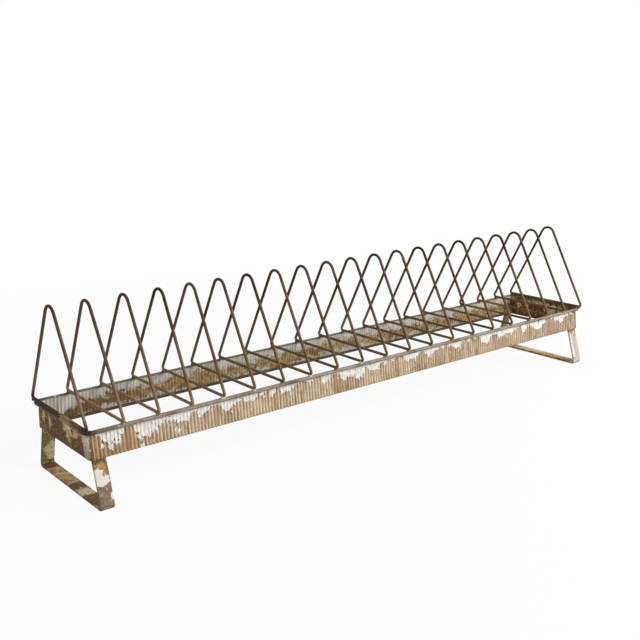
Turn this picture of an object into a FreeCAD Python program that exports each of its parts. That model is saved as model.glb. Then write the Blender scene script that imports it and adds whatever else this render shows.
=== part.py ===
"""Plate serving rack: wire dividers on a rimmed, fluted sheet band that stands on two bent strap legs.

The origin is on the floor under the rack's middle. X runs along the rack, -Y is the front and +Z is up.
All sizes are in millimetres.
"""
import FreeCAD, Part
import Sketcher
import math
import os

# Driving sizes: alias, number, what it measures
SIZES = (
    ("divider_count", 21, "wire triangles along the rack"),
    ("divider_pitch", 39.5, "from one divider to the next"),
    ("divider_height", 112.3, "base bar to rounded top, both at the wire's centre"),
    ("wire_diameter", 3.4, "rod of the dividers and of the lower wires"),
    ("apex_radius", 11.5, "bend at a divider's top, at the wire's centre"),
    ("foot_radius", 2.6, "bends at a divider's feet, at the wire's centre"),
    ("rim_width", 126.6, "front to back, at the rim wire's centre"),
    ("rim_height", 79.6, "floor to the rim wire's centre"),
    ("rim_diameter", 4.4, "rod of the rim"),
    ("rim_corner_radius", 6.0, "bends of the rim, at the wire's centre"),
    ("band_height", 30.6, "sheet band, top to bottom edge"),
    ("band_splay", 3.0, "how far the band's long sides stand out at the bottom, past their top edges"),
    ("band_top_drop", 0.3, "band's top edge below the top of the rim"),
    ("sheet_thickness", 0.6, "sheet of the panels and end caps"),
    ("flute_pitch", 4.17, "nominal width of one flute"),
    ("flute_depth", 1.2, "crest to valley on one face of a panel"),
    ("cap_return", 0.6, "straight piece of an end cap past its corner"),
    ("seam_gap", 0.3, "between an end cap and a panel"),
    ("strap_width", 15.0, "leg strap, along the rack"),
    ("strap_thickness", 3.0, "leg strap"),
    ("strap_bend_radius", 3.0, "bends of a leg, at the strap's middle"),
    ("strap_lap", 14.0, "leg strap behind the panel, up from the band's lower edge"),
    ("strap_end_gap", 2.2, "leg strap's outer edge to the end cap's inner face"),
    ("leg_spread", 152.0, "front to back over a leg at the floor, to its corners before bending"),
    ("weld_gap", 0.1, "room between welded pieces"),
)

# Sizes that follow from the driving ones
HALF_LENGTH = "((Sizes.divider_count - 1) * Sizes.divider_pitch / 2)"
HALF_WIDTH = "(Sizes.rim_width / 2)"
RIM_RADIUS = "(Sizes.rim_diameter / 2)"
WIRE_RADIUS = "(Sizes.wire_diameter / 2)"
BASE_BAR_HEIGHT = f"(Sizes.rim_height + {RIM_RADIUS} + Sizes.weld_gap + {WIRE_RADIUS})"
BAND_TOP = f"(Sizes.rim_height + {RIM_RADIUS} - Sizes.band_top_drop)"
BAND_BOTTOM = f"({BAND_TOP} - Sizes.band_height)"
BAND_LEAN = "atan(Sizes.band_splay / Sizes.band_height)"
BAND_HALF_LENGTH = f"({HALF_LENGTH} - {RIM_RADIUS} - Sizes.weld_gap)"
WIDTH_AT_RIM = f"({HALF_WIDTH} - ({RIM_RADIUS} + Sizes.weld_gap) / cos({BAND_LEAN}))"
HALF_WIDTH_ABOVE = f"({WIDTH_AT_RIM} - ({BAND_TOP} - Sizes.rim_height) * tan({BAND_LEAN}))"
HALF_WIDTH_BELOW = f"({HALF_WIDTH_ABOVE} + Sizes.band_splay)"
BAND_CORNER_RADIUS = f"(Sizes.rim_corner_radius - {RIM_RADIUS} - Sizes.weld_gap)"
SEAM_X = f"({BAND_HALF_LENGTH} - {BAND_CORNER_RADIUS} - Sizes.cap_return)"
FLUTE_SLOPE = "atan(2 * Sizes.flute_depth / Sizes.flute_pitch)"
FLUTED_SHEET_DEPTH = f"(Sizes.sheet_thickness / cos({FLUTE_SLOPE}))"
PANEL_DEPTH = f"(Sizes.flute_depth + {FLUTED_SHEET_DEPTH})"
STRAP_OUTER_EDGE = f"({BAND_HALF_LENGTH} - Sizes.sheet_thickness - Sizes.strap_end_gap)"
STRAP_MIDDLE_BELOW = f"({HALF_WIDTH_BELOW} - {PANEL_DEPTH} - Sizes.weld_gap - Sizes.strap_thickness / 2)"
STRAP_MIDDLE_ABOVE = f"({STRAP_MIDDLE_BELOW} - Sizes.strap_lap * tan({BAND_LEAN}))"

doc = FreeCAD.newDocument("plate_rack")


def make_sheet():
    """Puts the driving sizes into a spreadsheet, one aliased cell each."""
    sheet = doc.addObject("Spreadsheet::Sheet", "Sizes")
    for row, (alias, number, note) in enumerate(SIZES, start=1):
        sheet.set(f"A{row}", note)
        sheet.set(f"B{row}", str(number))
        sheet.setAlias(f"B{row}", alias)
    doc.recompute()
    return sheet


def value(expression):
    """The number that an expression on the sheet gives now."""
    return float(sheet.evalExpression(expression))


def new_body(label):
    body = doc.addObject("PartDesign::Body", label)
    body.Label = label
    return body


def origin_plane(body, role):
    return next(feature for feature in body.Origin.OriginFeatures if feature.Role == role)


def new_sketch(body, role, name):
    sketch = body.newObject("Sketcher::SketchObject", name)
    sketch.AttachmentSupport = (origin_plane(body, role), [""])
    sketch.MapMode = "FlatFace"
    return sketch


def bind(sketch, kind, *references, expression):
    """Adds a dimension to a sketch and ties it to an expression on the sheet."""
    index = sketch.addConstraint(Sketcher.Constraint(kind, *references, value(expression)))
    sketch.setExpression(f"Constraints[{index}]", expression)


def vector(point):
    return FreeCAD.Vector(point[0], point[1], 0)


def bent_path(sketch, corners, radius):
    """Straight runs from corner to corner, joined by tangent arcs of one radius; gives the runs.

    Each corner is a pair of expressions. A construction point marks it, and the runs beside it aim at it.
    """
    places = [vector((value(across), value(up))) for across, up in corners]
    setback = []
    for before, here, after in zip(places, places[1:], places[2:]):
        turn = (here - before).getAngle(after - here)
        setback.append(value(radius) * math.tan(turn / 2))
    starts = [places[0]]
    ends = []
    for index, cut in enumerate(setback, start=1):
        toward = (places[index] - places[index - 1]).normalize()
        away = (places[index + 1] - places[index]).normalize()
        ends.append(places[index] - toward * cut)
        starts.append(places[index] + away * cut)
    ends.append(places[-1])
    runs = [sketch.addGeometry(Part.LineSegment(*pair)) for pair in zip(starts, ends)]

    marks = []
    for place, (across, up) in zip(places, corners):
        mark = sketch.addGeometry(Part.Point(place), True)
        bind(sketch, "DistanceX", -1, 1, mark, 1, expression=across)
        bind(sketch, "DistanceY", -1, 1, mark, 1, expression=up)
        marks.append(mark)
    sketch.addConstraint(Sketcher.Constraint("Coincident", runs[0], 1, marks[0], 1))
    sketch.addConstraint(Sketcher.Constraint("Coincident", runs[-1], 2, marks[-1], 1))

    for index in range(1, len(runs)):
        corner = places[index]
        bend = ends[index - 1] - corner + starts[index] - corner
        half_turn = (ends[index - 1] - corner).getAngle(bend)
        to_middle = value(radius) / math.sin(half_turn) - value(radius)
        middle = corner + FreeCAD.Vector(bend).normalize() * to_middle
        arc = sketch.addGeometry(Part.Arc(ends[index - 1], middle, starts[index]))
        first, last = arc_ends(sketch, arc, ends[index - 1])
        sketch.addConstraint(Sketcher.Constraint("PointOnObject", marks[index], 1, runs[index - 1]))
        sketch.addConstraint(Sketcher.Constraint("PointOnObject", marks[index], 1, runs[index]))
        sketch.addConstraint(Sketcher.Constraint("Tangent", runs[index - 1], 2, arc, first))
        sketch.addConstraint(Sketcher.Constraint("Tangent", arc, last, runs[index], 1))
        bind(sketch, "Radius", arc, expression=radius)
    return runs


def arc_ends(sketch, arc, place):
    """Which end of an arc lies at a place, and which is the other one: 1 is its start and 2 its end."""
    if sketch.getPoint(arc, 1).distanceToPoint(place) < sketch.getPoint(arc, 2).distanceToPoint(place):
        return 1, 2
    return 2, 1


def divider_path(sketch):
    """Half a divider: along the base bar from its middle, round a foot, up a leg and over to the top."""
    bar_end = FreeCAD.Vector(value(HALF_WIDTH), 0, 0)
    foot_radius = value("Sizes.foot_radius")
    apex_radius = value("Sizes.apex_radius")
    foot_centre = bar_end + FreeCAD.Vector(0, foot_radius, 0)
    top = FreeCAD.Vector(0, value("Sizes.divider_height"), 0)
    apex_centre = top - FreeCAD.Vector(0, apex_radius, 0)
    between = apex_centre - foot_centre
    swing = math.atan2(between.y, between.x) - math.acos((foot_radius - apex_radius) / between.Length)
    outward = FreeCAD.Vector(math.cos(swing), math.sin(swing), 0)
    leg_foot = foot_centre + outward * foot_radius
    leg_top = apex_centre + outward * apex_radius
    foot_middle = foot_centre + (bar_end - foot_centre + outward * foot_radius).normalize() * foot_radius
    apex_middle = apex_centre + (top - apex_centre + outward * apex_radius).normalize() * apex_radius

    bar = sketch.addGeometry(Part.LineSegment(FreeCAD.Vector(), bar_end))
    foot = sketch.addGeometry(Part.Arc(bar_end, foot_middle, leg_foot))
    leg = sketch.addGeometry(Part.LineSegment(leg_foot, leg_top))
    apex = sketch.addGeometry(Part.Arc(leg_top, apex_middle, top))
    foot_first, foot_last = arc_ends(sketch, foot, bar_end)
    apex_first, apex_last = arc_ends(sketch, apex, leg_top)
    sketch.addConstraint(Sketcher.Constraint("Coincident", bar, 1, -1, 1))
    sketch.addConstraint(Sketcher.Constraint("Horizontal", bar))
    bind(sketch, "DistanceX", bar, 1, bar, 2, expression=HALF_WIDTH)
    sketch.addConstraint(Sketcher.Constraint("Tangent", bar, 2, foot, foot_first))
    sketch.addConstraint(Sketcher.Constraint("Tangent", foot, foot_last, leg, 1))
    bind(sketch, "Radius", foot, expression="Sizes.foot_radius")
    sketch.addConstraint(Sketcher.Constraint("Tangent", leg, 2, apex, apex_first))
    sketch.addConstraint(Sketcher.Constraint("PointOnObject", apex, 3, -2))
    sketch.addConstraint(Sketcher.Constraint("PointOnObject", apex, apex_last, -2))
    bind(sketch, "DistanceY", -1, 1, apex, apex_last, expression="Sizes.divider_height")
    bind(sketch, "Radius", apex, expression="Sizes.apex_radius")


def round_section(sketch, across, diameter):
    """A rod's round section, at a place on the sketch's first axis."""
    centre = vector((value(across), 0))
    ring = sketch.addGeometry(Part.Circle(centre, FreeCAD.Vector(0, 0, 1), value(diameter) / 2))
    bind(sketch, "DistanceX", -1, 1, ring, 3, expression=across)
    sketch.addConstraint(Sketcher.Constraint("PointOnObject", ring, 3, -1))
    bind(sketch, "Diameter", ring, expression=diameter)


def flat_section(sketch, centre, width, height):
    """A strip's oblong section round a centre on the sketch's axes."""
    across, up = value(centre[0]), value(centre[1])
    half_width, half_height = value(width) / 2, value(height) / 2
    corners = [
        vector((across - half_width, up - half_height)),
        vector((across + half_width, up - half_height)),
        vector((across + half_width, up + half_height)),
        vector((across - half_width, up + half_height)),
    ]
    sides = [sketch.addGeometry(Part.LineSegment(corners[k], corners[(k + 1) % 4])) for k in range(4)]
    for k in range(4):
        sketch.addConstraint(Sketcher.Constraint("Coincident", sides[k], 2, sides[(k + 1) % 4], 1))
    for k, kind in enumerate(("Horizontal", "Vertical", "Horizontal", "Vertical")):
        sketch.addConstraint(Sketcher.Constraint(kind, sides[k]))
    bind(sketch, "DistanceX", sides[0], 1, sides[0], 2, expression=width)
    bind(sketch, "DistanceY", sides[1], 1, sides[1], 2, expression=height)
    bind(sketch, "DistanceX", -1, 1, sides[0], 1, expression=f"{centre[0]} - {width} / 2")
    bind(sketch, "DistanceY", -1, 1, sides[0], 1, expression=f"{centre[1]} - {height} / 2")


def swept_and_mirrored(body, section, path, mirror_role):
    """Sweeps a section along half a path and mirrors it into the whole piece."""
    pipe = body.newObject("PartDesign::AdditivePipe", "Sweep")
    pipe.Profile = section
    pipe.Spine = path
    doc.recompute()
    mirrored = body.newObject("PartDesign::Mirrored", "WholePiece")
    mirrored.Originals = [pipe]
    mirrored.MirrorPlane = (origin_plane(body, mirror_role), [""])
    body.Tip = mirrored


def make_dividers():
    count = round(value("Sizes.divider_count"))
    for number in range(1, count + 1):
        body = new_body(f"divider_{number:02d}")
        path = new_sketch(body, "YZ_Plane", "BentWire")
        divider_path(path)
        section = new_sketch(body, "XZ_Plane", "WireSection")
        round_section(section, "0", "Sizes.wire_diameter")
        swept_and_mirrored(body, section, path, "XZ_Plane")
        body.setExpression("Placement.Base.x", f"{number - 1} * Sizes.divider_pitch - {HALF_LENGTH}")
        body.setExpression("Placement.Base.z", BASE_BAR_HEIGHT)


def make_rim_wire():
    body = new_body("rim_wire")
    path = new_sketch(body, "XY_Plane", "BentRod")
    front, back = f"-{HALF_WIDTH}", HALF_WIDTH
    corners = [("0", front), (HALF_LENGTH, front), (HALF_LENGTH, back), ("0", back)]
    bent_path(path, corners, "Sizes.rim_corner_radius")
    section = new_sketch(body, "YZ_Plane", "RodSection")
    round_section(section, front, "Sizes.rim_diameter")
    swept_and_mirrored(body, section, path, "YZ_Plane")
    body.setExpression("Placement.Base.z", "Sizes.rim_height")


def cap_outline(name, half_width, level):
    """The sheet of an end cap cut level: its outer and inner lines, joined at the two seams."""
    sketch = doc.addObject("Sketcher::SketchObject", name)
    seam = f"{SEAM_X} + Sizes.seam_gap / 2"
    lines = []
    for inset in ("0", "Sizes.sheet_thickness"):
        side = f"({half_width} - {inset})"
        end = f"{BAND_HALF_LENGTH} - {inset}"
        corners = [(seam, f"-{side}"), (end, f"-{side}"), (end, side), (seam, side)]
        lines.append(bent_path(sketch, corners, f"({BAND_CORNER_RADIUS} - {inset})"))
    outer, inner = lines
    for mine, run in ((1, 0), (2, -1)):
        ends = [sketch.getPoint(line[run], mine) for line in lines]
        closing = sketch.addGeometry(Part.LineSegment(*ends))
        sketch.addConstraint(Sketcher.Constraint("Coincident", closing, 1, outer[run], mine))
        sketch.addConstraint(Sketcher.Constraint("Coincident", closing, 2, inner[run], mine))
    sketch.setExpression("Placement.Base.z", level)
    return sketch


def make_end_cap(label, turn):
    """A plain sheet end, bent round both corners of the splayed band; turn is its angle about Z."""
    cap = doc.addObject("Part::Loft", label)
    cap.Label = label
    cap.Sections = [
        cap_outline(f"{label}_lower_edge", HALF_WIDTH_BELOW, "0"),
        cap_outline(f"{label}_upper_edge", HALF_WIDTH_ABOVE, "Sizes.band_height"),
    ]
    cap.Solid = True
    cap.Ruled = True
    cap.Placement = FreeCAD.Placement(FreeCAD.Vector(), FreeCAD.Rotation(FreeCAD.Vector(0, 0, 1), turn))
    cap.setExpression("Placement.Base.z", BAND_BOTTOM)


def make_panel(label, turn):
    """A fluted strip between the end caps: a zigzag sheet section drawn up along the band's lean."""
    half_length = value(f"{SEAM_X} - Sizes.seam_gap / 2")
    flute_count = round(2 * half_length / value("Sizes.flute_pitch"))
    step = half_length / flute_count
    crest = -value(HALF_WIDTH_BELOW)
    valley = crest + value("Sizes.flute_depth")
    sheet_depth = value(FLUTED_SHEET_DEPTH)
    outer_face = []
    for k in range(2 * flute_count + 1):
        across = valley if k % 2 else crest
        outer_face.append(FreeCAD.Vector(k * step - half_length, across, 0))
    inner_face = [point + FreeCAD.Vector(0, sheet_depth, 0) for point in reversed(outer_face)]
    outline = Part.makePolygon(outer_face + inner_face + outer_face[:1])
    upward = FreeCAD.Vector(0, value("Sizes.band_splay"), value("Sizes.band_height"))
    panel = doc.addObject("Part::Feature", label)
    panel.Label = label
    panel.Shape = Part.Face(outline).extrude(upward)
    panel.Placement = FreeCAD.Placement(FreeCAD.Vector(), FreeCAD.Rotation(FreeCAD.Vector(0, 0, 1), turn))
    panel.setExpression("Placement.Base.z", BAND_BOTTOM)


def make_lower_wire(label, side):
    """A straight rod along the inside of a panel's lower edge, from leg strap to leg strap."""
    wire = doc.addObject("Part::Cylinder", label)
    wire.Label = label
    reach = f"({STRAP_OUTER_EDGE} - Sizes.strap_width - Sizes.weld_gap)"
    wire.setExpression("Radius", WIRE_RADIUS)
    wire.setExpression("Height", f"2 * {reach}")
    wire.Placement = FreeCAD.Placement(FreeCAD.Vector(), FreeCAD.Rotation(FreeCAD.Vector(0, 1, 0), 90))
    wire.setExpression("Placement.Base.x", f"-{reach}")
    inner_face = f"({HALF_WIDTH_BELOW} - {PANEL_DEPTH} - {WIRE_RADIUS} * tan({BAND_LEAN}))"
    clear = f"(({WIRE_RADIUS} + Sizes.weld_gap) / cos({BAND_LEAN}))"
    wire.setExpression("Placement.Base.y", f"{side} * ({inner_face} - {clear})")
    wire.setExpression("Placement.Base.z", f"{BAND_BOTTOM} + {WIRE_RADIUS}")


def make_leg(label, side):
    """A flat strap bent to a splayed U: flat on the floor, up the slant and flat behind the panel."""
    body = new_body(label)
    path = new_sketch(body, "YZ_Plane", "StrapMiddle")
    floor_run = "Sizes.strap_thickness / 2"
    floor_corner = "Sizes.leg_spread / 2 - Sizes.strap_thickness / 2"
    corners = [
        ("0", floor_run),
        (floor_corner, floor_run),
        (STRAP_MIDDLE_BELOW, BAND_BOTTOM),
        (STRAP_MIDDLE_ABOVE, f"{BAND_BOTTOM} + Sizes.strap_lap"),
    ]
    bent_path(path, corners, "Sizes.strap_bend_radius")
    section = new_sketch(body, "XZ_Plane", "StrapSection")
    flat_section(section, ("0", floor_run), "Sizes.strap_width", "Sizes.strap_thickness")
    swept_and_mirrored(body, section, path, "XZ_Plane")
    body.setExpression("Placement.Base.x", f"{side} * ({STRAP_OUTER_EDGE} - Sizes.strap_width / 2)")


def sub_parts():
    kinds = ("PartDesign::Body", "Part::Feature", "Part::Loft", "Part::Cylinder")
    return [item for item in doc.Objects if item.TypeId in kinds]


def check_and_export():
    """Stops on any failed object, then writes one file for each sub-part."""
    doc.recompute()
    for item in doc.Objects:
        if "Invalid" in item.State or "Error" in item.State:
            raise RuntimeError(f"{item.Label} failed: {item.State}")
    for item in sub_parts():
        if item.Shape.isNull() or not item.Shape.isValid() or len(item.Shape.Solids) != 1:
            raise RuntimeError(f"{item.Label} is not one valid solid")
    os.makedirs("parts", exist_ok=True)
    for item in sub_parts():
        item.Shape.exportStep(f"parts/{item.Label}.step")
        print(item.Label, round(item.Shape.Volume), "mm3")


sheet = make_sheet()
make_rim_wire()
make_panel("front_panel", 0)
make_panel("back_panel", 180)
make_end_cap("right_end_cap", 0)
make_end_cap("left_end_cap", 180)
make_lower_wire("front_lower_wire", -1)
make_lower_wire("back_lower_wire", 1)
make_leg("left_leg", -1)
make_leg("right_leg", 1)
make_dividers()
check_and_export()
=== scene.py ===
"""Looks of a plate serving rack: worn paint, rounded flutes and weld beads, seen as in the photograph.

Everything is in the rack's own frame: X along the rack, -Y its front, +Z up, floor at 0. Sizes are in
metres, and the places of paint and of changes in a finish are in mm.
"""
import math
import random

import bmesh
import bpy
from mathutils import Matrix, Vector


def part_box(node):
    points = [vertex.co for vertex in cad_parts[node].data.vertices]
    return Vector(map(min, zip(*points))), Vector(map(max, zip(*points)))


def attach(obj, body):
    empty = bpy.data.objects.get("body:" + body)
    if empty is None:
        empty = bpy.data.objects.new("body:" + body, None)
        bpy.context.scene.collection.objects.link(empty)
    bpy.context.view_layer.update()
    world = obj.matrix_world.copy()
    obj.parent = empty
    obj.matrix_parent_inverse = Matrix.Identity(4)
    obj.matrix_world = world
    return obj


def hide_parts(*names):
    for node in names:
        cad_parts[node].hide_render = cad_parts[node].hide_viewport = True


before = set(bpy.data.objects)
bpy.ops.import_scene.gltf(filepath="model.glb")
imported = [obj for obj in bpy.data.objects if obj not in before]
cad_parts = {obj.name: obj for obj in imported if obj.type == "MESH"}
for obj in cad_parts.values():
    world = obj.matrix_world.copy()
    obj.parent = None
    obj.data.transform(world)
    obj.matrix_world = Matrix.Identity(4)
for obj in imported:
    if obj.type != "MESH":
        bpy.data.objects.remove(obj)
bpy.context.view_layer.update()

random.seed(7)

MM = 0.001
BODY = "root"

# Sheet and rod sizes shared with the solids; the 0.6 mm sheet is deeper measured across its slopes
FLUTE_PITCH = 4.17 * MM
FLUTE_DEPTH = 1.2 * MM
SHEET_DEPTH = 0.69 * MM
RIM_RADIUS = 2.2 * MM

# How far the panels' top edge, worn down behind the rim, lies below the solids'
TOP_WEAR = 1.5 * MM

# Mesh of a fluted panel: points along one flute, rows of points up it, the angle of its sharp edges in
# degrees, a power that makes grooves narrower than crests, and the shallowest groove's share of the depth
FLUTE_POINTS = 10
PANEL_ROWS = 5
PANEL_SHARP_ANGLE = 50
GROOVE_POWER = 1.3
SHALLOWEST_GROOVE = 0.82

# Values that a panel's points carry for its finishes, and the finishes' places in its list of materials
PANEL_LAYERS = ("rise", "groove", "paint_left", "flute_luck")
OUTER_FACE = 0
INNER_FACE = 1

# How paint lasts from flute to flute: the chance that two neighbours are alike, and luck's reach either way
ALIKE_CHANCE = 0.6
LUCK_REACH = 0.12

# Leg straps with worn edges: width of the wear, angles in degrees, and how near two points count as one
STRAP_WEAR = 0.5 * MM
STRAP_RIDGE_ANGLE = 40
STRAP_FLAT_ANGLE = 1
STRAP_SHARP_ANGLE = 35
SAME_POINT = 0.002 * MM

# Lumps of weld: least and most half size along, across and up, and shift along the rack, in mm; how far
# out and up they sit on the rim; and how many bumps swell them, by which share and how steeply
WELD_SIZES = ((2.4, 3.0), (2.0, 2.4), (1.6, 2.0))
WELD_SHIFT = (-0.4, 0.6)
WELD_OFFSET = 0.4 * MM
WELD_BUMPS = 6
BUMP_HEIGHTS = (-0.12, 0.2)
BUMP_POWER = 4

# A weld's coat as one number: 0 is dark, up to about 0.3 it is gold rust, then grey-brown, and 1 is paint;
# chance gives one between the least rusty or grey value and the most grey one
DARK_COAT = 0.0
LEAST_RUSTY_COAT = 0.1
LEAST_GREY_COAT = 0.35
MOST_GREY_COAT = 0.7
PAINTED_COAT = 1.0

# Dividers, counted from the left: the first whose welds may be rusty, and those with a painted front weld
FIRST_RUSTY_WELD = 12
PAINTED_WELDS = (5, 6, 8, 10)

# How far the tops of the leftmost dividers, bent by hand, lean along the rack, in mm
DIVIDER_LEAN = {
    "divider_01": -0.4,
    "divider_02": -1.5,
    "divider_03": 1.5,
    "divider_04": 3.5,
    "divider_05": 3.0,
    "divider_06": 1.0,
}

# Colours of paint, rust and bare metal, a few also used as painted shade and highlight
WIRE_DARK = "3f3122"
WIRE_BROWN = "68543f"
WIRE_OLIVE = "746246"
WIRE_PINK = "897260"
WIRE_GOLD = "9c7d3e"
WIRE_BAR = "96825e"
LOWER_DARK = "504534"
RIM_GREY = "8d8174"
RIM_BROWN = "6a5a4a"
RIM_BACK = "6a6452"
RIM_DARK = "35271b"
RIM_RED = "553929"
RIM_RUST = "7e5a3a"
# painted highlight along the end rods
RIM_HIGHLIGHT_TAN = "a8946b"
TAN_CREST = "cab8a0"
# grime in grooves and streaks, also painted shade in the outer grooves
TAN_VALLEY = "7e6144"
TAN_BROWN = "8e7250"
TAN_DARK = "a88b64"
TAN_PALE = "b7a591"
FLAKE_WHITE = "e6e3de"
FLAKE_GREY = "cfcbc4"
INSIDE_GREY = "cbc7c0"
# grey streaks, also painted shade in the inner grooves
INSIDE_STREAK_AND_SHADE = "aba59a"
INSIDE_OCHRE = "ac9064"
INSIDE_BROWN = "735d40"
CAP_BROWN = "937345"
CAP_BLACK = "583f20"
CAP_TAN = "d8bd8c"
CAP_CREAM = "eee6ce"
STRAP_TAN = "c0a06c"
STRAP_OCHRE = "9e7f54"
STRAP_BROWN = "5d4930"
STRAP_OLIVE = "7c6a47"
STRAP_GREY = "7e6d59"
STRAP_CREAM = "d9d1c5"
STRAP_BEIGE = "c6b996"
STRAP_PALE = "aca199"
# soot, and painted shade along the end caps' lower edge
SOOT_AND_SHADE = "241b12"

# Where a finish changes along an axis: the place where the change starts and the one where it ends, in mm
PINK_WIRES_X = (-220, -370)
LIGHT_FEET_Z = (170, 84)
BASE_BARS_Z = (93, 86)
TAN_BARS_X = (-160, -300)
GOLD_BARS_X = (-100, 100)
LOWER_WIRES_Z = (72, 64)
END_DIVIDER_X = (-386, -392)
END_DIVIDER_Z = (96, 86)
BACK_RIM_Y = (20, 60)
BROWN_RIM_X = (-340, -380)
END_RIM_X = (-380, -392)
DARK_FLUTES_X = (-270, -400)
PALE_FLUTES_X = (120, 400)
LOW_RUST_X = (-335, -355)
BROWN_RUST_X = (-270, -330)
RUST_START_X = (-374, -368)
CAP_SHADED_FOOT_Z = (57, 52)
CAP_LEFT_X = (0, -100)
RUBBED_CORNER_Z = (74, 54)
CAP_SEAM_X = (391.8, 390.8)

# The pale front corner of the left end cap: how far in front of the rack's middle its border would lie at
# the floor, in mm, and how far that moves in for each mm of height
CAP_CORNER_Y = (69.5, 70.5)
CAP_CORNER_SLANT = 0.31

# Rust inside a panel: its middle as a share of the panel's height, how far that drops at the left end, and
# how far its border there leans along the rack from the lower to the upper edge
RUST_MIDDLE = 0.42
RUST_DROP = 0.17
RUST_START_LEAN = 24 * MM

# Lobes of white paint left below a panel's top edge: middle and half width in mm along the panel, and
# how far down they come, as a share of the panel's height
PAINT_LOBES = (
    (-366, 14, 0.75),
    (-331, 13, 0.72),
    (-314, 10, 0.45),
    (-290, 20, 0.55),
    (-258, 20, 0.42),
    (-230, 16, 0.42),
    (-204, 18, 0.40),
    (-146, 17, 0.42),
    (-119, 16, 0.30),
    (-92, 11, 0.42),
    (-63, 9, 0.42),
    (-43, 12, 0.45),
    (-18, 12, 0.40),
    (14, 8, 0.34),
    (45, 16, 0.52),
    (78, 12, 0.42),
    (130, 20, 0.43),
    (188, 11, 0.50),
    (227, 21, 0.45),
    (271, 8, 0.42),
    (301, 14, 0.48),
    (350, 14, 0.43),
)
PAINT_BETWEEN_LOBES = 0.16

# Single flakes left on the front panel: place along it, height and radius in mm
PAINT_FLAKES = (
    (-369, 60, 2.6),
    (-378, 63, 2.0),
    (-337, 62, 2.8),
    (-335, 53, 2.2),
    (-326, 61, 2.0),
    (-295, 61, 1.8),
    (-292, 57, 1.8),
    (-182, 70, 1.6),
)

# A place across the rack just in front of that panel, and a half size that reaches through it, in mm
FLAKE_Y = -64
FLAKE_HALF_Y = 20

# Spots of paint, each over the ones before it, with a few painted shadows and highlights marked as such:
# colour, middle and half size in mm; ANY reaches past the rack
ANY = 1000
LEFT_LEG_PAINT_AND_SHADOW = (
    (STRAP_OLIVE, (-382, 72, 34), (ANY, 13, 36)),
    (STRAP_BEIGE, (-380, 71, 20), (7, 11, 13)),
    # painted shadow at the back end of the bottom run
    (STRAP_BROWN, (-384, 65, 2), (ANY, 8, 6)),
    (STRAP_BEIGE, (-380, 6.5, 2), (7, 1.6, 6)),
    (STRAP_BROWN, (-385, -6, 2), (ANY, 8, 6)),
    (STRAP_BROWN, (-384, -50, 2), (ANY, 18, 6)),
    (STRAP_BEIGE, (-384, -26, 2), (10, 8.5, 6)),
    (STRAP_TAN, (-391, -67, 2), (4, 8, 6)),
    (STRAP_GREY, (-382, -74, 14), (ANY, 10, 19)),
    (STRAP_OCHRE, (-382, -66, 42), (ANY, 13, 6)),
    (STRAP_BROWN, (-382, -62, 52), (ANY, 15, 5.5)),
    (STRAP_GREY, (-375, -68, 38), (3, 14, 10)),
    (STRAP_CREAM, (-386.5, -69, 35), (6, 14, 6.5)),
    (STRAP_CREAM, (-382.5, -70, 29), (8.5, 14, 4.5)),
    (STRAP_CREAM, (-375.5, -73, 15), (2, 8, 4.5)),
)
RIGHT_LEG_PAINT = (
    (STRAP_OLIVE, (382, 72, 40), (ANY, 13, 30)),
    (STRAP_BEIGE, (380, 71, 18), (8, 11, 12)),
    (STRAP_BEIGE, (383, 10, 2), (8, 22, 6)),
    (STRAP_PALE, (382, -71, 22), (ANY, 14, 28)),
    (STRAP_GREY, (382, -62, 54), (ANY, 15, 6)),
    (STRAP_CREAM, (376, -70, 26), (3, 14, 24)),
)
END_BAR_RUST_AND_HIGHLIGHT = (
    # a tan stretch that is a painted highlight along both end rods
    (RIM_HIGHLIGHT_TAN, (-394, -20, 84), (ANY, 13, ANY)),
    (RIM_RUST, (-394, -44, 84), (ANY, 9, ANY)),
)
CAP_PAINT_AND_HIGHLIGHT = (
    (CAP_BLACK, (0, 12, 60), (ANY, 24, 14)),
    # a thin tan line along the top edge, a painted highlight of that edge
    (CAP_TAN, (0, 2, 77), (ANY, 30, 2)),
    (CAP_TAN, (0, -14, 70), (ANY, 11, 11)),
    (CAP_CREAM, (0, -20, 74), (ANY, 6, 4)),
    (CAP_TAN, (0, -32, 70), (ANY, 7, 6)),
    (CAP_BLACK, (0, -40, 58), (ANY, 16, 10)),
    (CAP_TAN, (0, 46, 68), (ANY, 4, 7)),
    (CAP_TAN, (0, 30, 66), (ANY, 2.5, 7)),
    (CAP_TAN, (0, 63, 77), (ANY, 7, 5)),
)

# Floor: half its width, its colour for the light that it throws back and for the camera, and the distances
# from the middle between which its glow rises to white, so that a faint shadow shows close to the rack
FLOOR_REACH = 60.0
FLOOR_LIT = (0.5, 0.49, 0.47, 1)
FLOOR_SEEN = (0.95, 0.95, 0.95, 1)
SHADOW_REACH = (0.4, 1.1)
SHADOW_GLOW = (0.9, 1.0)

# Light from all round
SKY_COLOUR = (1.0, 0.985, 0.96, 1)
SKY_STRENGTH = 0.36
WHITE = (1, 1, 1, 1)

# Camera: angles in degrees, place, sensor and lens in mm
CAMERA_AZIMUTH = -38.91
CAMERA_ELEVATION = 14.08
CAMERA_ROLL = -0.596
CAMERA_PLACE = (-735.5, -847.3, 397.9)
CAMERA_SENSOR = 36
CAMERA_LENS = 51.05


def linear(code):
    """A colour written as six hex digits, as the shader wants it."""
    shares = [int(code[k:k + 2], 16) / 255 for k in (0, 2, 4)]
    return [s / 12.92 if s <= 0.04045 else ((s + 0.055) / 1.055) ** 2.4 for s in shares] + [1.0]


def paint_reach(place):
    """How far white paint comes down a panel at a place in mm: half ellipses, a little between them."""
    reach = PAINT_BETWEEN_LOBES
    for middle, half, share in PAINT_LOBES:
        away = min(abs(place - middle) / half, 1)
        reach = max(reach, share * math.sqrt(1 - away ** 2))
    return reach


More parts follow.
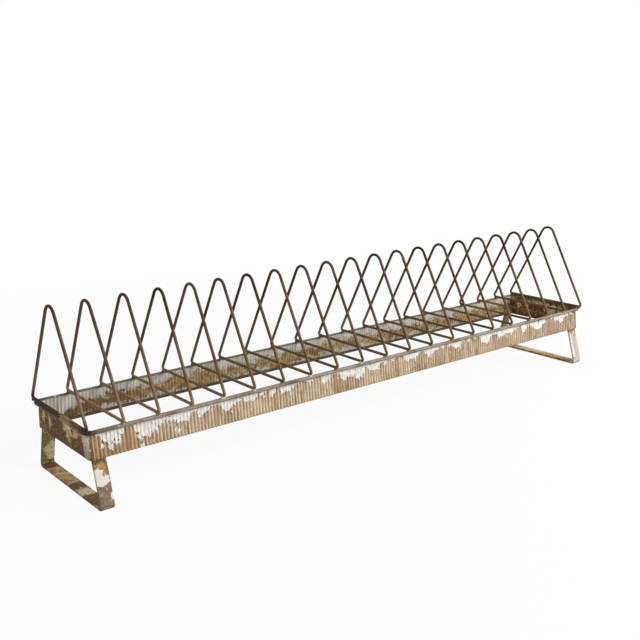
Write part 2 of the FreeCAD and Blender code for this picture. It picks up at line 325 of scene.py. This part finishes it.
class Finish:
    """One procedural material; its methods add nodes and hand back their output sockets."""

    def __init__(self, name, roughness=0.6, specular=0.12):
        self.material = bpy.data.materials.new(name)
        self.material.use_nodes = True
        self.tree = self.material.node_tree
        self.shader = self.tree.nodes["Principled BSDF"]
        self.shader.inputs["Roughness"].default_value = roughness
        self.shader.inputs["Specular IOR Level"].default_value = specular
        self.place = self.node("ShaderNodeTexCoord").outputs["Object"]
        self.axes = self.node("ShaderNodeSeparateXYZ", {"Vector": self.place}).outputs

    def node(self, kind, inputs=None, **settings):
        """A new node with its settings made and its inputs fed."""
        made = self.tree.nodes.new(kind)
        for key, setting in settings.items():
            setattr(made, key, setting)
        for key, source in (inputs or {}).items():
            self.feed(made.inputs[key], source)
        return made

    def feed(self, socket, source):
        """Gives a socket another one's output, a colour's code or a plain value."""
        if isinstance(source, bpy.types.NodeSocket):
            self.tree.links.new(source, socket)
        elif isinstance(source, str):
            socket.default_value = linear(source)
        else:
            socket.default_value = source

    def noise(self, scale, detail=3.0, rough=0.55, stretch=(1, 1, 1), shift=(0, 0, 0), wobble=0.0):
        """Noise about 0.5; scale is in features per metre, before the stretch along each axis."""
        placing = {"Vector": self.place, "Scale": stretch, "Location": shift}
        placed = self.node("ShaderNodeMapping", placing).outputs[0]
        inputs = {"Vector": placed, "Scale": scale, "Detail": detail, "Roughness": rough}
        return self.node("ShaderNodeTexNoise", {**inputs, "Distortion": wobble}).outputs["Fac"]

    def math(self, operation, *values):
        """A sum, a product or the like of sockets and numbers."""
        return self.node("ShaderNodeMath", dict(enumerate(values)), operation=operation).outputs[0]

    def both(self, first, second):
        """1 only where both masks are 1."""
        return self.math("MULTIPLY", first, second)

    def sway(self, noise, amount):
        """Noise turned into a shift of at most half the amount either way."""
        return self.math("MULTIPLY_ADD", noise, amount, -amount / 2)

    def step(self, source, low, high):
        """0 below low, 1 above high, and smooth between them; low may lie above high."""
        inputs = {"Value": source, "From Min": low, "From Max": high}
        return self.node("ShaderNodeMapRange", inputs, interpolation_type="SMOOTHSTEP").outputs[0]

    def past(self, place, start, end):
        """Goes from 0 to 1 between two places in mm, on an axis or on a place worked out in metres."""
        source = self.axes[place] if isinstance(place, str) else place
        return self.step(source, start * MM, end * MM)

    def spot(self, middle, half, edge, torn=2.5):
        """1 inside an ellipsoid given in mm, 0 outside, with an edge that a noise tears."""
        inputs = {"Vector": self.place, "Location": Vector(middle) * MM, "Scale": Vector(half) * MM}
        scaled = self.node("ShaderNodeMapping", inputs, vector_type="TEXTURE").outputs[0]
        far = self.node("ShaderNodeVectorMath", {0: scaled}, operation="LENGTH").outputs["Value"]
        return self.step(self.math("ADD", far, self.sway(edge, torn)), 1.06, 0.94)

    def mix(self, share, first, second, strength=1.0):
        """Goes from the first colour to the second as share goes from 0 to 1, or only part of the way."""
        if strength < 1:
            share = self.math("MULTIPLY", share, strength)
        made = self.node("ShaderNodeMix", {"Factor": share}, data_type="RGBA")
        self.feed(made.inputs[6], first)
        self.feed(made.inputs[7], second)
        return made.outputs[2]

    def layer(self, name):
        """A value that the piece's mesh carries from point to point."""
        return self.node("ShaderNodeAttribute", attribute_name=name).outputs["Fac"]

    def bump(self, source, depth, strength=0.6):
        """Raises the surface where source is 1 by about depth metres."""
        made = self.node("ShaderNodeBump", {"Height": source, "Distance": depth, "Strength": strength})
        normal = self.shader.inputs["Normal"]
        if normal.is_linked:
            self.feed(made.inputs["Normal"], normal.links[0].from_socket)
        self.feed(normal, made.outputs[0])

    def paint(self, colour, roughness=None):
        """Puts the colour, and a roughness if there is one, on the shader."""
        self.feed(self.shader.inputs["Base Color"], colour)
        if roughness is not None:
            self.feed(self.shader.inputs["Roughness"], roughness)
        return self.material


def wire_finish():
    """Bronze-brown rod: nearly black at the tops, lighter towards the feet, tan low on the left."""
    skin = Finish("worn_bronze_wire", specular=0.05)
    broad = skin.noise(16)
    grain = skin.noise(95)
    brown = skin.mix(skin.step(broad, 0.36, 0.66), WIRE_DARK, WIRE_BROWN)
    height = skin.math("ADD", skin.axes["Z"], skin.sway(broad, 80 * MM))
    warm = skin.mix(skin.past("X", *PINK_WIRES_X), WIRE_OLIVE, WIRE_PINK)
    colour = skin.mix(skin.past(height, *LIGHT_FEET_Z), brown, warm, 0.85)
    bars = skin.past("Z", *BASE_BARS_Z)
    colour = skin.mix(skin.both(bars, skin.past("X", *TAN_BARS_X)), colour, WIRE_BAR, 0.6)
    gold = skin.both(bars, skin.step(broad, 0.52, 0.60))
    colour = skin.mix(skin.both(gold, skin.past("X", *GOLD_BARS_X)), colour, WIRE_GOLD, 0.7)
    colour = skin.mix(skin.past("Z", *LOWER_WIRES_Z), colour, LOWER_DARK)
    # the first divider's base bar takes the end rods' colours, their painted highlight included
    end_bar = skin.both(skin.past("X", *END_DIVIDER_X), skin.past("Z", *END_DIVIDER_Z))
    colour = skin.mix(end_bar, colour, end_colour(skin))
    colour = skin.mix(skin.step(grain, 0.48, 0.7), colour, SOOT_AND_SHADE, 0.25)
    skin.bump(skin.noise(500), 0.04 * MM, 0.25)
    return skin.paint(colour, skin.math("MULTIPLY_ADD", grain, 0.3, 0.3))


def end_colour(skin):
    """Brown-black with a rusty stretch and a tan stretch that is a painted highlight, for the two rods at
    the left end.
    """
    streak = skin.noise(420, detail=3, rough=0.7, stretch=(1, 0.2, 1), shift=(1, 0, 3))
    colour = skin.mix(skin.step(streak, 0.45, 0.62), RIM_DARK, RIM_RED)
    for coat, middle, half in END_BAR_RUST_AND_HIGHLIGHT:
        colour = skin.mix(skin.spot(middle, half, streak, torn=5.0), colour, coat, 0.85)
    return colour


def rim_finish():
    """Grey-brown rod: pale along the front, darker behind, and brown-black with rust and a painted highlight
    at the left end.
    """
    skin = Finish("worn_grey_rim")
    broad = skin.noise(30)
    fine = skin.noise(300, detail=4)
    grey = skin.mix(skin.step(broad, 0.45, 0.68), RIM_GREY, RIM_BROWN)
    grey = skin.mix(skin.past("Y", *BACK_RIM_Y), grey, RIM_BACK)
    grey = skin.mix(skin.past("X", *BROWN_RIM_X), grey, RIM_BROWN)
    colour = skin.mix(skin.past("X", *END_RIM_X), grey, end_colour(skin))
    chips = skin.step(skin.noise(140, detail=5, rough=0.7), 0.64, 0.67)
    colour = skin.mix(chips, colour, FLAKE_GREY, 0.7)
    colour = skin.mix(skin.step(fine, 0.5, 0.75), colour, SOOT_AND_SHADE, 0.35)
    skin.bump(fine, 0.12 * MM, 0.3)
    return skin.paint(colour, skin.math("MULTIPLY_ADD", fine, 0.25, 0.35))


def weld_finish():
    """Lumps of weld by their coat: dark at the left end, gold rust, grey-brown, or torn cream paint."""
    skin = Finish("weld_lumps")
    coat = skin.layer("coat")
    fine = skin.noise(320, detail=4)
    colour = skin.mix(skin.step(fine, 0.4, 0.65), RIM_GREY, RIM_BROWN)
    colour = skin.mix(skin.step(coat, 0.32, 0.30), colour, WIRE_GOLD)
    colour = skin.mix(skin.step(coat, 0.06, 0.04), colour, RIM_DARK)
    torn = skin.math("ADD", coat, skin.sway(fine, 0.8))
    colour = skin.mix(skin.step(torn, 0.82, 0.88), colour, FLAKE_GREY)
    skin.bump(fine, 0.2 * MM, 0.5)
    return skin.paint(colour)


def flake_mask(skin):
    """Where a panel's outer face still has white paint: a fringe below the top edge, chips and flakes."""
    lobes = skin.sway(skin.noise(110, detail=2, stretch=(1, 1, 0.7)), 0.6)
    ragged = skin.sway(skin.noise(280, detail=3, rough=0.6, stretch=(1, 1, 0.8)), 0.5)
    reach = skin.math("ADD", skin.layer("paint_left"), skin.math("ADD", lobes, ragged))
    reach = skin.math("ADD", reach, skin.layer("flute_luck"))
    spare = skin.math("SUBTRACT", reach, skin.math("SUBTRACT", 1.0, skin.layer("rise")))
    fringe = skin.step(spare, -0.015, 0.02)
    holes = skin.step(skin.noise(240, detail=3, shift=(2, 0, 5)), 0.66, 0.69)
    fringe = skin.both(fringe, skin.math("SUBTRACT", 1.0, holes))
    chips = skin.step(skin.noise(210, shift=(3, 1, 2)), 0.645, 0.67)
    chips = skin.both(chips, skin.step(spare, -0.55, -0.2))
    mask = skin.math("MAXIMUM", fringe, chips)
    edge = skin.noise(380, detail=2)
    for along, height, radius in PAINT_FLAKES:
        flake = skin.spot((along, FLAKE_Y, height), (radius, FLAKE_HALF_Y, radius), edge, torn=4.0)
        mask = skin.math("MAXIMUM", mask, flake)
    return mask


def outer_finish():
    """Tan flutes with grime and painted shade in the grooves, under white paint that has flaked off from the
    bottom up.
    """
    skin = Finish("tan_flutes_with_flaking_paint", roughness=0.65)
    groove = skin.layer("groove")
    broad = skin.noise(14)
    fine = skin.noise(420, detail=4, stretch=(1, 1, 0.35))
    tan = skin.mix(skin.past("X", *DARK_FLUTES_X), TAN_CREST, TAN_DARK, 0.8)
    tan = skin.mix(skin.past("X", *PALE_FLUTES_X), tan, TAN_PALE)
    # grooves darker, partly grime and partly painted shade in the recesses
    tan = skin.mix(skin.step(groove, 0.45, 0.95), tan, TAN_VALLEY, 0.68)
    worn = skin.math("MULTIPLY_ADD", skin.layer("flute_luck"), 0.4, broad)
    tan = skin.mix(skin.step(worn, 0.46, 0.70), tan, TAN_BROWN, 0.6)
    streak = skin.noise(190, detail=2, stretch=(1, 1, 0.12), shift=(4, 2, 1))
    tan = skin.mix(skin.step(streak, 0.50, 0.64), tan, TAN_VALLEY, 0.5)
    tan = skin.mix(skin.step(fine, 0.5, 0.68), tan, TAN_VALLEY, 0.5)
    tan = skin.mix(skin.step(skin.layer("rise"), 0.07, 0.0), tan, TAN_BROWN, 0.7)
    white = skin.mix(skin.step(fine, 0.4, 0.65), FLAKE_WHITE, FLAKE_GREY)
    mask = flake_mask(skin)
    skin.bump(skin.both(mask, groove), 0.85 * FLUTE_DEPTH, 1.0)
    skin.bump(fine, 0.1 * MM, 0.4)
    skin.bump(mask, 0.2 * MM, 0.7)
    return skin.paint(skin.mix(mask, tan, white))


def inner_finish():
    """Grey-white streaked paint inside the band, rusting through in ochre and brown patches, with painted
    shade in the grooves.
    """
    skin = Finish("grey_paint_rusting_through", roughness=0.7)
    groove = skin.layer("groove")
    rise = skin.layer("rise")
    streak = skin.noise(260, stretch=(1, 1, 0.12))
    grey = skin.mix(skin.step(streak, 0.42, 0.68), INSIDE_GREY, INSIDE_STREAK_AND_SHADE)
    # painted shade in the inner grooves
    grey = skin.mix(groove, grey, INSIDE_STREAK_AND_SHADE, 0.25)
    torn = skin.noise(55, detail=6, rough=0.75, wobble=0.3)
    speckle = skin.noise(330, detail=3, rough=0.7)
    middle = skin.math("MULTIPLY_ADD", skin.past("X", *LOW_RUST_X), -RUST_DROP, RUST_MIDDLE)
    off_middle = skin.math("ABSOLUTE", skin.math("SUBTRACT", rise, middle))
    ragged = skin.math("ADD", skin.sway(torn, 1.5), skin.sway(speckle, 0.9))
    patch = skin.math("SUBTRACT", ragged, off_middle)
    border = skin.math("MULTIPLY_ADD", rise, -RUST_START_LEAN, skin.axes["X"])
    rust = skin.both(skin.step(patch, -0.36, -0.16), skin.past(border, *RUST_START_X))
    deep = skin.math("ADD", skin.noise(120, detail=4), skin.past("X", *BROWN_RUST_X))
    brown = skin.mix(skin.step(deep, 0.45, 0.65), INSIDE_OCHRE, INSIDE_BROWN)
    brown = skin.mix(skin.step(speckle, 0.45, 0.65), brown, INSIDE_BROWN, 0.8)
    skin.bump(groove, 0.6 * FLUTE_DEPTH, 1.0)
    skin.bump(speckle, 0.2 * MM, 0.5)
    return skin.paint(skin.mix(rust, grey, brown))


def cap_finish():
    """Brown end sheets with dark, tan and cream wear, palest round the front left corner, painted shade low
    down and a painted highlight at the top.
    """
    skin = Finish("dark_end_paint")
    edge = skin.noise(170, detail=4, rough=0.7, stretch=(1, 1, 0.7))
    fine = skin.noise(260, detail=4, rough=0.7, stretch=(1, 1, 0.7))
    colour = skin.mix(skin.step(edge, 0.46, 0.56), CAP_BROWN, CAP_BLACK)
    for coat, middle, half in CAP_PAINT_AND_HIGHLIGHT:
        colour = skin.mix(skin.spot(middle, half, edge, torn=4.0), colour, coat)
    colour = skin.mix(skin.step(fine, 0.55, 0.66), colour, CAP_TAN, 0.8)
    # painted shade: the end caps darken towards their lower edge
    colour = skin.mix(skin.past("Z", *CAP_SHADED_FOOT_Z), colour, SOOT_AND_SHADE, 0.4)
    forward = skin.math("SUBTRACT", skin.sway(edge, 9 * MM), skin.axes["Y"])
    border = skin.math("MULTIPLY_ADD", skin.axes["Z"], CAP_CORNER_SLANT, forward)
    corner = skin.both(skin.past(border, *CAP_CORNER_Y), skin.past("X", *CAP_LEFT_X))
    low = skin.past("Z", *RUBBED_CORNER_Z)
    rubbed = skin.step(skin.math("MULTIPLY_ADD", low, 0.12, fine), 0.50, 0.58)
    colour = skin.mix(corner, colour, skin.mix(rubbed, CAP_CREAM, CAP_BROWN, 0.75))
    outward = skin.math("ADD", skin.math("ABSOLUTE", skin.axes["X"]), skin.sway(edge, 8 * MM))
    colour = skin.mix(skin.past(outward, *CAP_SEAM_X), colour, CAP_BLACK, 0.85)
    colour = skin.mix(skin.step(fine, 0.44, 0.38), colour, CAP_BLACK, 0.7)
    skin.bump(edge, 0.2 * MM, 0.5)
    return skin.paint(colour)


def strap_finish(name, spots):
    """Leg straps in tan with spots of other coats and one painted shadow, curls of beige, and dirt on all
    but the palest spots.
    """
    skin = Finish(name)
    edge = skin.noise(130, detail=4, rough=0.7)
    mottle = skin.noise(330, detail=2, shift=(6, 1, 3))
    dirt = skin.step(mottle, 0.48, 0.66)
    rubbed = skin.step(mottle, 0.42, 0.28)
    colour = skin.mix(skin.step(edge, 0.44, 0.58), STRAP_TAN, STRAP_BROWN, 0.75)
    swirl = skin.noise(95, detail=3, shift=(2, 7, 4), wobble=1.6)
    colour = skin.mix(skin.step(swirl, 0.50, 0.58), colour, STRAP_OCHRE, 0.7)
    curl = skin.math("ABSOLUTE", skin.math("SUBTRACT", skin.noise(48, detail=2, wobble=1.5), 0.5))
    colour = skin.mix(skin.step(curl, 0.022, 0.008), colour, STRAP_BEIGE, 0.8)
    for coat, middle, half in spots:
        if coat not in (STRAP_CREAM, STRAP_PALE):
            coat = skin.mix(rubbed, skin.mix(dirt, coat, STRAP_BROWN, 0.6), STRAP_BEIGE, 0.5)
        colour = skin.mix(skin.spot(middle, half, edge), colour, coat)
    skin.bump(edge, 0.2 * MM, 0.5)
    return skin.paint(colour)


def new_piece(name, mesh, materials):
    """A smooth mesh object in the rack's frame that rides on its body."""
    piece = bpy.data.objects.new(name, mesh)
    bpy.context.scene.collection.objects.link(piece)
    for material in materials:
        mesh.materials.append(material)
    mesh.polygons.foreach_set("use_smooth", [True] * len(mesh.polygons))
    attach(piece, BODY)
    return piece


def bare_copy(node, name):
    """A copy of a node's mesh, without its materials."""
    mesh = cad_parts[node].data.copy()
    mesh.materials.clear()
    mesh.name = name
    return mesh


def sharpen(mesh, degrees):
    """Keeps edges crisp where faces meet at more than an angle."""
    mesh.set_sharp_from_angle(angle=math.radians(degrees))


def panel_columns(build, node, side):
    """A panel's points, column by column along it: outer and inner rows, from the lower edge up."""
    low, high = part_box(node)
    inmost, outmost = sorted((abs(low.y), abs(high.y)))
    depth = FLUTE_DEPTH + SHEET_DEPTH
    height = high.z - low.z - TOP_WEAR
    splay = (outmost - inmost - depth) * height / (high.z - low.z)
    count = round((high.x - low.x) / FLUTE_PITCH)
    pitch = (high.x - low.x) / count
    luck = [0.0]
    for flute in range(count):
        alike = random.random() < ALIKE_CHANCE
        luck.append(luck[-1] if alike else random.uniform(-LUCK_REACH, LUCK_REACH))
    shallow = [random.uniform(SHALLOWEST_GROOVE, 1.0) for flute in range(count + 1)]

    layers = {key: build.verts.layers.float.new(key) for key in PANEL_LAYERS}
    columns = []
    for k in range(count * FLUTE_POINTS + 1):
        turn = k / FLUTE_POINTS
        flute = round(turn)
        dip = ((1 - math.cos(2 * math.pi * turn)) / 2) ** GROOVE_POWER * shallow[flute]
        x = low.x + turn * pitch
        column = {"outer": [], "inner": []}
        for face, inset, groove in (("outer", 0.0, dip), ("inner", SHEET_DEPTH, 1 - dip)):
            for row in range(PANEL_ROWS):
                rise = row / (PANEL_ROWS - 1)
                y = outmost - splay * rise - dip * FLUTE_DEPTH - inset
                point = build.verts.new((x, side * y, low.z + height * rise))
                point[layers["rise"]] = rise
                point[layers["groove"]] = groove
                point[layers["paint_left"]] = paint_reach(-side * x / MM)
                point[layers["flute_luck"]] = luck[flute]
                column[face].append(point)
        columns.append(column)
    return columns


def panel_faces(build, columns):
    """The faces between a panel's points: both sides, the lower and upper edges, and both ends."""
    for left, right in zip(columns, columns[1:]):
        for face, material in (("outer", OUTER_FACE), ("inner", INNER_FACE)):
            for row in range(PANEL_ROWS - 1):
                corners = (left[face][row], right[face][row], right[face][row + 1], left[face][row + 1])
                build.faces.new(corners).material_index = material
        for row, material in ((0, OUTER_FACE), (PANEL_ROWS - 1, INNER_FACE)):
            corners = (left["outer"][row], right["outer"][row], right["inner"][row], left["inner"][row])
            build.faces.new(corners).material_index = material
    for column in (columns[0], columns[-1]):
        outer, inner = column["outer"], column["inner"]
        for row in range(PANEL_ROWS - 1):
            build.faces.new((outer[row], outer[row + 1], inner[row + 1], inner[row]))
    bmesh.ops.recalc_face_normals(build, faces=build.faces)


def fluted_panel(node, side, materials):
    """A panel of rounded flutes in the place of its plain solid; side is -1 in front and 1 behind."""
    mesh = bpy.data.meshes.new(node + "_flutes")
    build = bmesh.new()
    panel_faces(build, panel_columns(build, node, side))
    build.to_mesh(mesh)
    build.free()
    piece = new_piece(node + "_flutes", mesh, materials)
    sharpen(mesh, PANEL_SHARP_ANGLE)
    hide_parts(node)


def worn_leg(node, material):
    """A copy of a leg strap with its edges rounded by wear, in the place of its plain solid."""
    mesh = bare_copy(node, node + "_worn")
    build = bmesh.new()
    build.from_mesh(mesh)
    bmesh.ops.remove_doubles(build, verts=build.verts, dist=SAME_POINT)
    flat = math.radians(STRAP_FLAT_ANGLE)
    bmesh.ops.dissolve_limit(build, angle_limit=flat, verts=build.verts, edges=build.edges)
    steep = math.radians(STRAP_RIDGE_ANGLE)
    ridges = [edge for edge in build.edges if edge.is_manifold and edge.calc_face_angle(0) > steep]
    bmesh.ops.bevel(
        build, geom=ridges, offset=STRAP_WEAR, segments=3, profile=0.5,
        affect="EDGES", clamp_overlap=True,
    )
    build.to_mesh(mesh)
    build.free()
    piece = new_piece(node + "_worn", mesh, [material])
    sharpen(mesh, STRAP_SHARP_ANGLE)
    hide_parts(node)


def leaning_divider(node, lean, material):
    """A copy of a divider whose top leans along the rack, in the place of its upright solid."""
    low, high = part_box(node)
    mesh = bare_copy(node, node + "_leaning")
    for point in mesh.vertices:
        point.co.x += lean * (point.co.z - low.z) / (high.z - low.z)
    piece = new_piece(node + "_leaning", mesh, [material])
    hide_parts(node)


def weld_lump(build, centre):
    """The points of one lump of weld: a stretched ball with bumps, shifted a little along the rack."""
    points = bmesh.ops.create_icosphere(build, subdivisions=3, radius=1.0)["verts"]
    size = Vector([random.uniform(*limits) for limits in WELD_SIZES]) * MM
    centre.x += random.uniform(*WELD_SHIFT) * MM
    bumps = []
    for bump in range(WELD_BUMPS):
        toward = Vector([random.gauss(0, 1) for axis in range(3)]).normalized()
        bumps.append((toward, random.uniform(*BUMP_HEIGHTS)))
    for point in points:
        way = point.co.normalized()
        swell = 1 + sum(height * max(way.dot(toward), 0) ** BUMP_POWER for toward, height in bumps)
        point.co = centre + Vector(a * b for a, b in zip(way * swell, size))
    return points


def weld_coat(number, side):
    """The coat of a divider's weld: by chance, apart from the end's dark ones and the painted ones."""
    least = LEAST_RUSTY_COAT if number >= FIRST_RUSTY_WELD else LEAST_GREY_COAT
    chance = random.uniform(least, MOST_GREY_COAT)
    if number == 1:
        return DARK_COAT
    if side < 0 and number in PAINTED_WELDS:
        return PAINTED_COAT
    return chance


def foot_welds(material):
    """A lump of weld and paint where each divider's foot sits on the rim, within the rim's length."""
    rim_low, rim_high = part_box("rim_wire")
    rim_y = rim_high.y - RIM_RADIUS
    dividers = sorted(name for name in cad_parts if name.startswith("divider_"))
    build = bmesh.new()
    coat_layer = build.verts.layers.float.new("coat")
    for number, node in enumerate(dividers, 1):
        low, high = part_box(node)
        for side in (-1, 1):
            centre = ((low.x + high.x) / 2, side * (rim_y + WELD_OFFSET), rim_high.z + WELD_OFFSET)
            points = weld_lump(build, Vector(centre))
            coat = weld_coat(number, side)
            for point in points:
                point.co.x = min(max(point.co.x, rim_low.x), rim_high.x)
                point[coat_layer] = coat
    mesh = bpy.data.meshes.new("foot_welds")
    build.to_mesh(mesh)
    build.free()
    new_piece("foot_welds", mesh, [material])


def dress():
    """Gives every node its finish, and sets the finer pieces in their places."""
    wire = wire_finish()
    cap = cap_finish()
    finishes = {"rim_wire": rim_finish(), "left_end_cap": cap, "right_end_cap": cap}
    for name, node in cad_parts.items():
        if name.startswith("divider_") or name.endswith("_lower_wire"):
            finishes[name] = wire
        if name in finishes:
            node.data.materials.clear()
            node.data.materials.append(finishes[name])
    flutes = [outer_finish(), inner_finish()]
    fluted_panel("front_panel", -1, flutes)
    fluted_panel("back_panel", 1, flutes)
    worn_leg("left_leg", strap_finish("patchy_left_leg", LEFT_LEG_PAINT_AND_SHADOW))
    worn_leg("right_leg", strap_finish("patchy_right_leg", RIGHT_LEG_PAINT))
    for node, lean in DIVIDER_LEAN.items():
        leaning_divider(node, lean * MM, wire)
    foot_welds(weld_finish())


def direct_view(tree):
    """1 for rays that come from the camera, mirrored or not; 0 for the rays that light the rack."""
    path = tree.nodes.new("ShaderNodeLightPath")
    seen = path.outputs["Is Camera Ray"]
    for ray in ("Is Glossy Ray", "Is Transmission Ray"):
        either = tree.nodes.new("ShaderNodeMath")
        either.operation = "MAXIMUM"
        tree.links.new(seen, either.inputs[0])
        tree.links.new(path.outputs[ray], either.inputs[1])
        seen = either.outputs[0]
    return seen


def floor_finish():
    """Pale floor that looks white to the camera, all the more so away from the rack."""
    skin = Finish("pale_floor", roughness=0.9, specular=0.1)
    seen = direct_view(skin.tree)
    skin.paint(skin.mix(seen, FLOOR_LIT, FLOOR_SEEN))
    far = skin.node("ShaderNodeVectorMath", {0: skin.place}, operation="LENGTH").outputs["Value"]
    fade = {"Value": far}
    fade["From Min"], fade["From Max"] = SHADOW_REACH
    fade["To Min"], fade["To Max"] = SHADOW_GLOW
    share = skin.node("ShaderNodeMapRange", fade, interpolation_type="SMOOTHSTEP").outputs[0]
    glow = skin.node("ShaderNodeEmission").outputs[0]
    parts = {0: skin.both(seen, share), 1: skin.shader.outputs[0], 2: glow}
    mixed = skin.node("ShaderNodeMixShader", parts).outputs[0]
    skin.feed(skin.tree.nodes["Material Output"].inputs["Surface"], mixed)
    return skin.material


def make_floor():
    """A wide pale floor that looks white, and keeps a faint shadow close to the rack."""
    far = FLOOR_REACH
    mesh = bpy.data.meshes.new("floor")
    mesh.from_pydata([(-far, -far, 0), (far, -far, 0), (far, far, 0), (-far, far, 0)], [], [(0, 1, 2, 3)])
    mesh.materials.append(floor_finish())
    floor = bpy.data.objects.new("floor", mesh)
    bpy.context.scene.collection.objects.link(floor)


def make_world():
    """Even soft light from all round; white where the camera or a glossy surface sees it."""
    world = bpy.data.worlds.new("studio")
    bpy.context.scene.world = world
    world.use_nodes = True
    tree = world.node_tree
    light = tree.nodes["Background"]
    light.inputs["Color"].default_value = SKY_COLOUR
    light.inputs["Strength"].default_value = SKY_STRENGTH
    white = tree.nodes.new("ShaderNodeBackground")
    white.inputs["Color"].default_value = WHITE
    both = tree.nodes.new("ShaderNodeMixShader")
    tree.links.new(direct_view(tree), both.inputs[0])
    tree.links.new(light.outputs[0], both.inputs[1])
    tree.links.new(white.outputs[0], both.inputs[2])
    tree.links.new(both.outputs[0], tree.nodes["World Output"].inputs["Surface"])


def soft_box(name, place, aim, size, power):
    """A square lamp, size metres wide and power watts strong, turned towards a point."""
    lamp = bpy.data.lights.new(name, "AREA")
    lamp.shape = "SQUARE"
    lamp.size = size
    lamp.energy = power
    holder = bpy.data.objects.new(name, lamp)
    holder.location = place
    holder.rotation_euler = (Vector(aim) - Vector(place)).to_track_quat("-Z", "Y").to_euler()
    bpy.context.scene.collection.objects.link(holder)


def make_camera():
    """The photograph's view, found from the even row of dividers."""
    azimuth = math.radians(CAMERA_AZIMUTH)
    elevation = math.radians(CAMERA_ELEVATION)
    roll = math.radians(CAMERA_ROLL)
    back = Vector((
        math.sin(azimuth) * math.cos(elevation),
        -math.cos(azimuth) * math.cos(elevation),
        math.sin(elevation),
    ))
    right = (-back).cross(Vector((0, 0, 1))).normalized()
    up = right.cross(-back)
    rolled_right = right * math.cos(roll) + up * math.sin(roll)
    rolled_up = up * math.cos(roll) - right * math.sin(roll)
    turn = Matrix((rolled_right, rolled_up, back)).transposed().to_4x4()
    lens = bpy.data.cameras.new("camera")
    lens.sensor_width = CAMERA_SENSOR
    lens.lens = CAMERA_LENS
    camera = bpy.data.objects.new("camera", lens)
    camera.matrix_world = Matrix.Translation(Vector(CAMERA_PLACE) * MM) @ turn
    bpy.context.scene.collection.objects.link(camera)
    bpy.context.scene.camera = camera


dress()
make_floor()
make_world()
soft_box("key_light", place=(1.5, -1.75, 1.15), aim=(0, 0, 0.08), size=1.6, power=82)
soft_box("fill_light", place=(-1.7, -0.8, 1.1), aim=(-0.2, 0, 0.08), size=1.4, power=7)
make_camera()
bpy.context.scene.view_settings.view_transform = "Standard"
